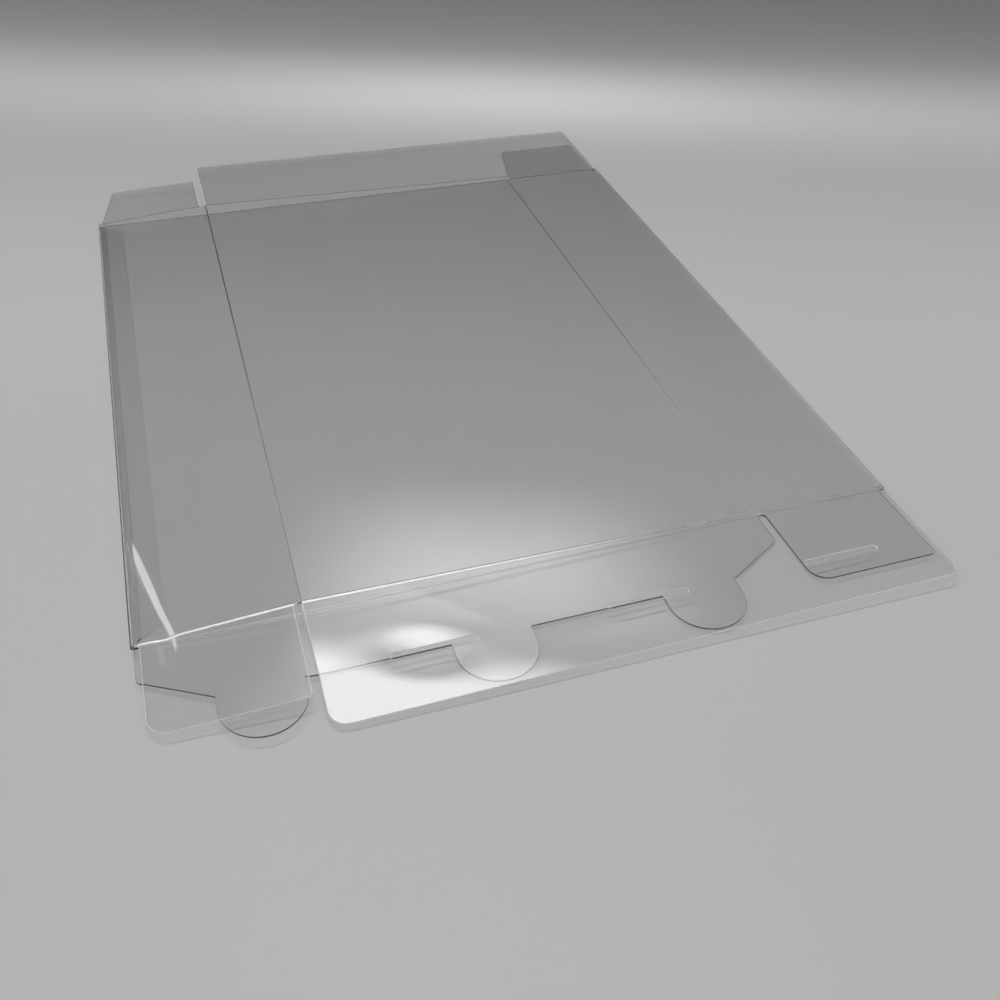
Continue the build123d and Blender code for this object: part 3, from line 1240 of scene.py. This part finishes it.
@dataclass
class HingedFlap:
    """A flap of the upper layer, with the strip of film that bends at its crease.

    The heights of its underside are given at its left and right side lines: at the crease, and
    at the free edge. A bowed flap leaves the crease flatter and steepens towards its edge.
    """

    name: str
    node: str
    blank: Blank
    toward: Toward
    side_lines: Point
    reach: float
    crease_under: Point
    free_under: Point
    corners: list[RootedCorner]
    holes: list[list[Point]] = field(default_factory=list)
    bow: float = 0.0
    step: float = 1.5
    strip_gap: float = 0.02
    edge_round: float = 0.12
    near_bead_and_groove: Point = (0.05, 0.06)
    far_bead_and_groove: Point = (0.02, 0.02)
    beside_crease: float = 0.32
    root_zone: float = 3.0
    root_step: float = 0.9

    @property
    def crease_line(self) -> float:
        """Y of the crease that the flap turns about."""
        return 0.0 if self.toward is Toward.NEAR else self.blank.length

    @property
    def root(self) -> float:
        """Y of the edge just inside the crease, where the flap's film meets the sleeve's."""
        inward = self.blank.crease_half_width - self.strip_gap
        return self.crease_line - self.toward.value * inward

    def outline(self) -> list[Point]:
        """The flap's die line, from just inside its crease."""
        sign = self.toward.value
        return rounded_loop([(x, self.root if y is None else self.crease_line + sign * y, r)
                             for x, y, r in self.corners])

    def place(self, x: float, y: float) -> Spot:
        """Lays the flap out from its crease to its free edge.

        Args:
            x: the place across the sleeve.
            y: the place along it.

        Returns:
            Where that place of the film lies, and how it is finished.
        """
        b = self.blank
        left, right = self.side_lines
        across = (x - left) / (right - left)
        outward = (y - self.crease_line) * self.toward.value
        twist = self.crease_under[1] - self.crease_under[0]
        root = self.crease_under[0] + across * twist
        free = self.free_under[0] + across * (self.free_under[1] - self.free_under[0])
        slope = (free - root) / self.reach
        run = soft_ramp(outward, b.press_half_width)
        height = root + slope * run * (1 - self.bow + self.bow * run / self.reach) + b.film / 2
        pitch = slope * (1 - self.bow + 2 * self.bow * run / self.reach)
        pitch *= soft_step(outward / b.press_half_width / 2 + 0.5) * self.toward.value
        roll = twist / (right - left) * (1 - outward / self.reach)
        return Spot(Vector((x, y, height)), Vector((1, 0, roll)).normalized(),
                    Vector((0, 1, pitch)).normalized(), b.pressed(outward), b.freedom(x))

    def stations(self) -> tuple[list[float], list[float]]:
        """Lays out the mesh, closest together over the crease.

        Returns:
            The stations across the flap and out from its crease.
        """
        h, p, sign = self.blank.crease_half_width, self.blank.press_half_width, self.toward.value
        across = spread(*self.side_lines, self.step)
        out = [-self.beside_crease, *spread(-p, p, p / 3), self.beside_crease]
        out += spread(h, self.root_zone, self.root_step)
        out += spread(self.root_zone, self.reach + self.root_zone, self.step)
        return across, [self.crease_line + sign * distance for distance in out]

    def piece(self, origin: Vector) -> FilmPiece:
        """The flap's film, ready to build; near creases pressed harder and painted with a
        highlight.

        Args:
            origin: the frame's origin on the sheet.

        Returns:
            The piece.
        """
        near = self.toward is Toward.NEAR
        bead, groove = self.near_bead_and_groove if near else self.far_bead_and_groove
        # Painted light: the cut edges are painted white as lit, and the near creases white as a
        # highlight.
        return FilmPiece(self.name, self.outline(), self.place, self.stations(), self.blank.film,
                         origin, self.holes, edge_round=self.edge_round, seams=(self.root,),
                         bead=bead, groove=groove, rim=Finish.PAINTED_LIT_EDGE,
                         pressed=Finish.WHITENED_CREASE if near else Finish.PRESSED_CREASE)

    def hang(self, piece: bpy.types.Object, origin: Vector) -> None:
        """Bakes the piece's placement into its mesh and hides the frame's part that it stands for.

        Args:
            piece: the flap's finished object.
            origin: the frame's origin on the sheet; not used.
        """
        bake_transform(piece)
        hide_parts(self.node)


def hinged_flaps(blank: Blank) -> list[HingedFlap]:
    """The four flaps that are free to open.

    Args:
        blank: the sizes of the blank.

    Returns:
        The near slot flap and side flap, and the far lid and dust flap.
    """
    b = blank
    film_under = (b.upper_left - b.film / 2, b.ridge - b.film / 2, b.upper_right - b.film / 2)
    side, front = (film_under[0], film_under[1]), (film_under[1], film_under[2])
    low, high = b.notch / 2, b.side_panel - b.notch / 2
    big, small = b.side_flap_radii
    slots = [slot_loop(b, number) for number in range(b.tongue_count)]
    return [
        HingedFlap(
            "slot_flap_film", "slot_flap", b, Toward.NEAR, (b.side_panel, b.right),
            reach=b.slot_flap_reach, crease_under=front, free_under=(0.7, 1.6), bow=0.4,
            corners=[(b.side_panel, None, 0), (b.right, None, 0),
                     (b.right, b.slot_flap_reach, b.slot_flap_radius),
                     (b.side_panel, b.slot_flap_reach, b.slot_flap_radius)],
            holes=slots,
        ),
        HingedFlap(
            "near_side_flap_film", "near_side_flap", b, Toward.NEAR, (b.left, b.side_panel),
            reach=b.side_flap_reach, crease_under=side, free_under=(1.0, 2.0), step=0.6,
            corners=[(low, None, 0), (high, None, 0), (high, 0, 0),
                     (high + low - b.notch, 0, b.notch / 2),
                     (b.side_panel - b.notch, b.side_flap_reach, small),
                     (b.notch, b.side_flap_reach, big), (b.notch, 0, b.notch / 2), (low, 0, 0)],
        ),
        HingedFlap(
            "lid_flap_film", "lid_flap", b, Toward.FAR, (b.side_panel, b.right),
            reach=b.lid_reach, crease_under=front, free_under=(1.6, 1.0),
            corners=[(b.side_panel, None, 0), (b.right, None, 0),
                     (b.right, b.lid_reach, b.lid_radius),
                     (b.side_panel, b.lid_reach, b.lid_radius)],
        ),
        HingedFlap(
            "far_dust_flap_film", "far_dust_flap", b, Toward.FAR, (b.left, b.side_panel),
            reach=b.dust_flap_reach, crease_under=side, free_under=(1.0, 2.1),
            corners=[(low, None, 0), (high, None, 0), (high, 0, 0),
                     (high + low - b.notch, 0, b.notch / 2),
                     (b.side_panel - b.notch, b.dust_flap_reach, b.dust_radius),
                     (low + b.dust_slant, b.dust_flap_reach, b.dust_radius), (low, 0, 0)],
        ),
    ]


def slot_loop(blank: Blank, number: int) -> list[Point]:
    """The outline of one slot of the slot flap.

    Args:
        blank: the sizes of the blank.
        number: which slot, from the left.

    Returns:
        The closed outline on the sheet.
    """
    middle = blank.side_panel + blank.pitch * (number + 0.5)
    half = (blank.tongue_width + blank.slot_end_slack) / 2
    near, far = -blank.slot_line - blank.slot_width / 2, -blank.slot_line + blank.slot_width / 2
    end = blank.slot_width / 2
    return rounded_loop([(middle - half, near, end), (middle + half, near, end),
                         (middle + half, far, end), (middle - half, far, end)])


@dataclass(frozen=True)
class Handling:
    """The ripples and buckles that pressing and stacking left in the upper layer of film."""

    corner_dent: Ripple = Ripple(
        centre=(3.1, 15.0), heading=12.4, height=-0.5, along=2.1, across=30.0)
    corner_dent_on_flap: Ripple = Ripple(
        centre=(7.2, -2.0), heading=-2.0, height=-0.12, along=1.6, across=9.0, bend=0.028)
    first_slot_pressed_in: Ripple = Ripple(
        centre=(52.8, -17.0), heading=74.0, height=-0.26, along=5.0, across=9.0)
    fan_by_the_corner: Ripple = Ripple(
        centre=(50.0, -25.0), heading=12.0, height=0.005, along=12.0, across=5.0, length=2.6)
    wave_past_second_tongue: Ripple = Ripple(
        centre=(95.0, -21.0), heading=88.0, height=-0.08, along=2.4, across=17.0)

    def waves(self) -> list[Ripple]:
        """All the ripples; each piece takes up those that reach it."""
        return [getattr(self, each.name) for each in fields(self)]


@dataclass(frozen=True)
class Table:
    """The pale table top under the protector, in metres apart from its drop.

    Each tone is a share of the depth behind the object and the share of the near tone there:
    painted light and shade, with a bright band and a fall into shade far behind. The bright spot is
    a painted pool of light.
    """

    size: float = 9.0
    drop: float = 0.08
    near: Colour = (0.4, 0.398, 0.389)
    depth: float = 0.32
    # Painted light and shade along the depth: a bright band and a fall into shade far behind.
    painted_light_tones: tuple[Point, ...] = ((0.0, 0.98), (0.2, 0.91), (0.36, 0.85), (0.54, 0.94), (0.72, 0.55),
                                (1.0, 0.33))
    # A painted pool of light on the table behind the object.
    painted_light_pool: Point = (0.02, 0.18)
    bright_spot_size: Point = (0.107, 0.032)
    painted_light_pool_share: float = 0.35
    mottle_scale: float = 9.0
    mottle: Point = (0.97, 1.03)
    roughness: float = 0.42
    specular: float = 0.25

    def build(self) -> bpy.types.Object:
        """Makes the table top and its finish.

        Returns:
            Its object.
        """
        half, z = self.size / 2, -self.drop * MM
        mesh = bpy.data.meshes.new("table_top")
        mesh.from_pydata([(-half, -half, z), (half, -half, z), (half, half, z), (-half, half, z)],
                         [], [(0, 1, 2, 3)])
        table = bpy.data.objects.new("table_top", mesh)
        bpy.context.scene.collection.objects.link(table)
        table.data.materials.append(self._material())
        return table

    def _material(self) -> bpy.types.Material:
        """A satin table top, pale near the object and fading into painted shade far behind it.

        Returns:
            The material.
        """
        made = bpy.data.materials.new("table_top")
        made.use_nodes = True
        tree = made.node_tree
        surface = tree.nodes["Principled BSDF"]
        place = tree.nodes.new("ShaderNodeTexCoord").outputs["Object"]
        across, along, _ = add_heading(tree, place, PHOTO_HEADING)
        # A painted pool of light added over the painted light and shade along the depth.
        share = add_math(tree, "MULTIPLY_ADD", self._painted_pool_of_light(tree, (across, along)),
                         self.painted_light_pool_share, self._painted_light_tone(tree, along))
        share = add_math(tree, "MULTIPLY", share, self._mottling(tree, place))
        tree.links.new(add_scaled(tree, self.near, share), surface.inputs["Base Color"])
        surface.inputs["Roughness"].default_value = self.roughness
        surface.inputs["Specular IOR Level"].default_value = self.specular
        return made

    def _painted_light_tone(self, tree: bpy.types.NodeTree, along: bpy.types.NodeSocket) -> bpy.types.NodeSocket:
        """The table's painted light and shade along the camera's heading.

        Args:
            tree: the material's tree.
            along: the place along that heading.

        Returns:
            The share of the near tone.
        """
        depth = tree.nodes.new("ShaderNodeMapRange")
        depth.inputs["From Min"].default_value = 0.0
        depth.inputs["From Max"].default_value = self.depth
        tree.links.new(along, depth.inputs["Value"])
        ramp = tree.nodes.new("ShaderNodeValToRGB")
        stops = ramp.color_ramp
        stops.interpolation = "CARDINAL"
        while len(stops.elements) < len(self.painted_light_tones):
            stops.elements.new(0.5)
        for element, (where, share) in zip(stops.elements, self.painted_light_tones):
            element.position = where
            element.color = (share, share, share, 1)
        tree.links.new(depth.outputs[0], ramp.inputs["Fac"])
        return ramp.outputs[0]

    def _painted_pool_of_light(
        self, tree: bpy.types.NodeTree, place: Sequence[bpy.types.NodeSocket]
    ) -> bpy.types.NodeSocket:
        """The painted pool of light on the table behind the object.

        Args:
            tree: the material's tree.
            place: the place across and along the camera's heading.

        Returns:
            A share from 0 far away to 1 in the middle of the spot.
        """
        squares = []
        for part, middle, size in zip(place, self.painted_light_pool, self.bright_spot_size):
            off = add_math(tree, "DIVIDE", add_math(tree, "SUBTRACT", part, middle), size)
            squares.append(add_math(tree, "MULTIPLY", off, off))
        far = add_math(tree, "ADD", *squares)
        return add_math(tree, "EXPONENT", add_math(tree, "MULTIPLY", far, -1.0))

    def _mottling(
        self, tree: bpy.types.NodeTree, place: bpy.types.NodeSocket
    ) -> bpy.types.NodeSocket:
        """A faint unevenness of the table's tone.

        Args:
            tree: the material's tree.
            place: the place on the table.

        Returns:
            A share close to 1.
        """
        noise = tree.nodes.new("ShaderNodeTexNoise")
        noise.inputs["Scale"].default_value = self.mottle_scale
        tree.links.new(place, noise.inputs["Vector"])
        tone = tree.nodes.new("ShaderNodeMapRange")
        tone.inputs["To Min"].default_value, tone.inputs["To Max"].default_value = self.mottle
        tree.links.new(noise.outputs[0], tone.inputs["Value"])
        return tone.outputs[0]


@dataclass(frozen=True)
class Softbox:
    """A soft lamp on a plane above the table, in heights of that plane.

    Each span runs from where the light starts, to where it is whole, to where it starts to
    fall, to where it ends: across the direction in which the camera looks, and along it,
    both turned by the heading.
    """

    across: Span
    along: Span
    power: float
    heading: float = 0.0


@dataclass(frozen=True)
class Studio:
    """Soft studio light: a dim room, large soft lamps, a strip lamp and a plain pale backdrop.

    Each fade runs from where its part of the room doesn't show to where it shows whole. The
    strip lamp's place and size are in metres, and its power is in watts.
    """

    room_back: float = 0.55
    room_front: float = 0.2
    room_low: float = 0.04
    front_fade: Point = (-0.5, 0.4)
    high_front_fade: Point = (1.95, 1.15)
    lamp_fade: Point = (0.05, 0.2)
    backdrop_fade: Point = (0.3, 0.2)
    least_height: float = 0.02
    ceiling: Softbox = Softbox(
        across=(-1.0, -0.7, 0.7, 1.0), along=(-0.9, -0.6, 0.2, 0.34), power=0.56)
    key: Softbox = Softbox(
        across=(-0.26, -0.14, 0.1, 0.24), along=(-0.1, 0.1, 0.53, 0.645), power=5.9)
    shade: Softbox = Softbox(
        across=(-0.72, -0.57, -0.48, -0.44), along=(-0.2, 0.0, 0.531, 0.541), power=0.8,
        heading=45.0)
    back: Softbox = Softbox(
        across=(-0.33, -0.05, 0.06, 0.33), along=(0.62, 0.93, 0.94, 1.22), power=1.85)
    side: Softbox = Softbox(
        across=(-1.08, -1.01, -0.95, -0.88), along=(0.42, 0.52, 1.02, 1.14), power=3.6)
    backdrop: float = 0.44
    strip_place: Place = (-0.72, 1.88, 2.3)
    strip_size: Point = (1.8, 0.12)
    strip_power: float = 57.0

    def build(self) -> None:
        """Makes the world that lights the scene, and the strip lamp."""
        world = bpy.data.worlds.new("studio")
        bpy.context.scene.world = world
        world.use_nodes = True
        tree = world.node_tree
        nodes, links = tree.nodes, tree.links
        nodes.clear()
        way = nodes.new("ShaderNodeTexCoord").outputs["Generated"]
        right, ahead, height = add_heading(tree, way, PHOTO_HEADING)
        up = add_math(tree, "MAXIMUM", height, self.least_height)
        plane = (add_math(tree, "DIVIDE", right, up), add_math(tree, "DIVIDE", ahead, up))
        light = self._room(tree, ahead, plane[1])
        above = self._fade(tree, height, *self.lamp_fade)
        for lamp in (self.ceiling, self.key, self.shade, self.back, self.side):
            share = self._lamp_share(tree, lamp, plane, above)
            light = add_math(tree, "MULTIPLY_ADD", share, lamp.power, light)
        shown = nodes.new("ShaderNodeBackground")
        links.new(self._with_backdrop(tree, light, height), shown.inputs["Strength"])
        links.new(shown.outputs[0], nodes.new("ShaderNodeOutputWorld").inputs["Surface"])
        self._strip_lamp()

    def _room(
        self, tree: bpy.types.NodeTree, ahead: bpy.types.NodeSocket, along: bpy.types.NodeSocket
    ) -> bpy.types.NodeSocket:
        """The light of the room's walls.

        Args:
            tree: the world's tree.
            ahead: how far a direction points along the camera's heading.
            along: where it meets the lamps' plane, along that heading.

        Returns:
            The light, from room_back behind the camera to room_low in front of it, and to
            room_front higher up there.
        """
        low = add_math(tree, "MULTIPLY", self._fade(tree, along, *self.high_front_fade),
                       self.room_front - self.room_low)
        low = add_math(tree, "ADD", low, self.room_low)
        gap = add_math(tree, "SUBTRACT", low, self.room_back)
        front = self._fade(tree, ahead, *self.front_fade)
        return add_math(tree, "MULTIPLY_ADD", front, gap, self.room_back)

    def _lamp_share(
        self,
        tree: bpy.types.NodeTree,
        lamp: Softbox,
        plane: Sequence[bpy.types.NodeSocket],
        above: bpy.types.NodeSocket,
    ) -> bpy.types.NodeSocket:
        """How much of a soft lamp shows in a direction.

        Args:
            tree: the world's tree.
            lamp: the lamp.
            plane: where the direction meets the lamps' plane, across and along the heading.
            above: how far the direction is above the horizon, from 0 to 1.

        Returns:
            The share, from 0 outside the lamp to 1 inside it.
        """
        across, along = plane
        cosine, sine = math.cos(math.radians(lamp.heading)), math.sin(math.radians(lamp.heading))
        first = add_math(tree, "MULTIPLY_ADD", along, -sine,
                         add_math(tree, "MULTIPLY", across, cosine))
        second = add_math(tree, "MULTIPLY_ADD", along, cosine,
                          add_math(tree, "MULTIPLY", across, sine))
        share = above
        for place, (start, whole, falling, end) in ((first, lamp.across), (second, lamp.along)):
            share = add_math(tree, "MULTIPLY", share, self._fade(tree, place, start, whole))
            share = add_math(tree, "MULTIPLY", share, self._fade(tree, place, end, falling))
        return share

    def _with_backdrop(
        self, tree: bpy.types.NodeTree, light: bpy.types.NodeSocket, height: bpy.types.NodeSocket
    ) -> bpy.types.NodeSocket:
        """Puts the backdrop in the place of the light, near the horizon.

        Args:
            tree: the world's tree.
            light: the light of the room and the lamps.
            height: how far up the direction points.

        Returns:
            The light, or the backdrop where it is seen, mirrored or seen through film.
        """
        path = tree.nodes.new("ShaderNodeLightPath").outputs
        seen = add_math(tree, "MAXIMUM", path["Is Camera Ray"], path["Is Transmission Ray"])
        seen = add_math(tree, "MAXIMUM", seen, path["Is Glossy Ray"])
        seen = add_math(tree, "MULTIPLY", seen, self._fade(tree, height, *self.backdrop_fade))
        level = tree.nodes.new("ShaderNodeMix")
        tree.links.new(seen, level.inputs["Factor"])
        tree.links.new(light, level.inputs["A"])
        level.inputs["B"].default_value = self.backdrop
        return level.outputs["Result"]

    def _strip_lamp(self) -> None:
        """A long thin lamp behind the object, which draws the shadows of the film's edges."""
        data = bpy.data.lights.new("strip_lamp", "AREA")
        data.shape = "RECTANGLE"
        data.size, data.size_y = self.strip_size
        data.energy = self.strip_power
        lamp = bpy.data.objects.new("strip_lamp", data)
        bpy.context.scene.collection.objects.link(lamp)
        across, along, height = self.strip_place
        turn = math.radians(PHOTO_HEADING)
        place = Vector((across * math.cos(turn) + along * math.sin(turn),
                        along * math.cos(turn) - across * math.sin(turn), height))
        lamp.location = place
        lamp.rotation_euler = (-place).to_track_quat("-Z", "Y").to_euler()
        lamp.visible_glossy = False
        lamp.visible_transmission = False

    @staticmethod
    def _fade(
        tree: bpy.types.NodeTree, value: bpy.types.NodeSocket, none: float, whole: float
    ) -> bpy.types.NodeSocket:
        """Adds a smooth fade.

        Args:
            tree: the tree to add to.
            value: what the fade follows.
            none: its value where the share is 0.
            whole: its value where the share is 1.

        Returns:
            The share.
        """
        node = tree.nodes.new("ShaderNodeMapRange")
        node.interpolation_type = "SMOOTHSTEP"
        node.inputs["From Min"].default_value = none
        node.inputs["From Max"].default_value = whole
        tree.links.new(value, node.inputs["Value"])
        return node.outputs[0]


@dataclass(frozen=True)
class PhotoCamera:
    """The camera of the photograph, placed on the sheet's own millimetres.

    Its roll is in degrees.
    """

    eye: Place = (24.04, -140.94, 153.93)
    aim: Place = (80.96, 21.64, 0.0)
    roll: float = 2.0
    focal_length: float = 37.01
    sensor: float = 36.0
    clip_start: float = 10.0

    def build(self, origin: Vector) -> None:
        """Makes the camera and sets it.

        Args:
            origin: the frame's origin on the sheet.
        """
        data = bpy.data.cameras.new("camera")
        data.sensor_width = self.sensor
        data.lens = self.focal_length
        data.clip_start = self.clip_start * MM
        camera = bpy.data.objects.new("camera", data)
        bpy.context.scene.collection.objects.link(camera)
        eye, aim = Vector(self.eye), Vector(self.aim)
        camera.location = (eye - origin) * MM
        level = (aim - eye).to_track_quat("-Z", "Y")
        camera.rotation_mode = "QUATERNION"
        camera.rotation_quaternion = level @ Euler((0, 0, math.radians(self.roll))).to_quaternion()
        bpy.context.scene.camera = camera


def main() -> None:
    """Builds the film pieces around the frame, then the table, light and camera."""
    logging.basicConfig(level=logging.INFO, format="%(name)s: %(message)s")
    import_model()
    bpy.context.view_layer.update()
    blank = Blank()
    origin = blank.centre
    materials = FilmFinishes().materials(FilmCharacterGroup())
    ripples = RippleTree()
    waves = [((Vector((*wave.centre, 0)) - origin) * MM, wave) for wave in Handling().waves()]
    for maker in (Sleeve(blank), *hinged_flaps(blank)):
        piece = maker.piece(origin).build()
        ripples.apply(piece, waves, materials)
        maker.hang(piece, origin)
        LOG.info("%s: %d faces", piece.name, len(piece.data.polygons))
    Table().build()
    Studio().build()
    PhotoCamera().build(origin)
    scene = bpy.context.scene
    scene.cycles.max_bounces = 8
    scene.cycles.transmission_bounces = 8
    scene.cycles.glossy_bounces = 3
    scene.cycles.diffuse_bounces = 1
    scene.view_settings.view_transform = "Standard"


if __name__ == "__main__":
    main()
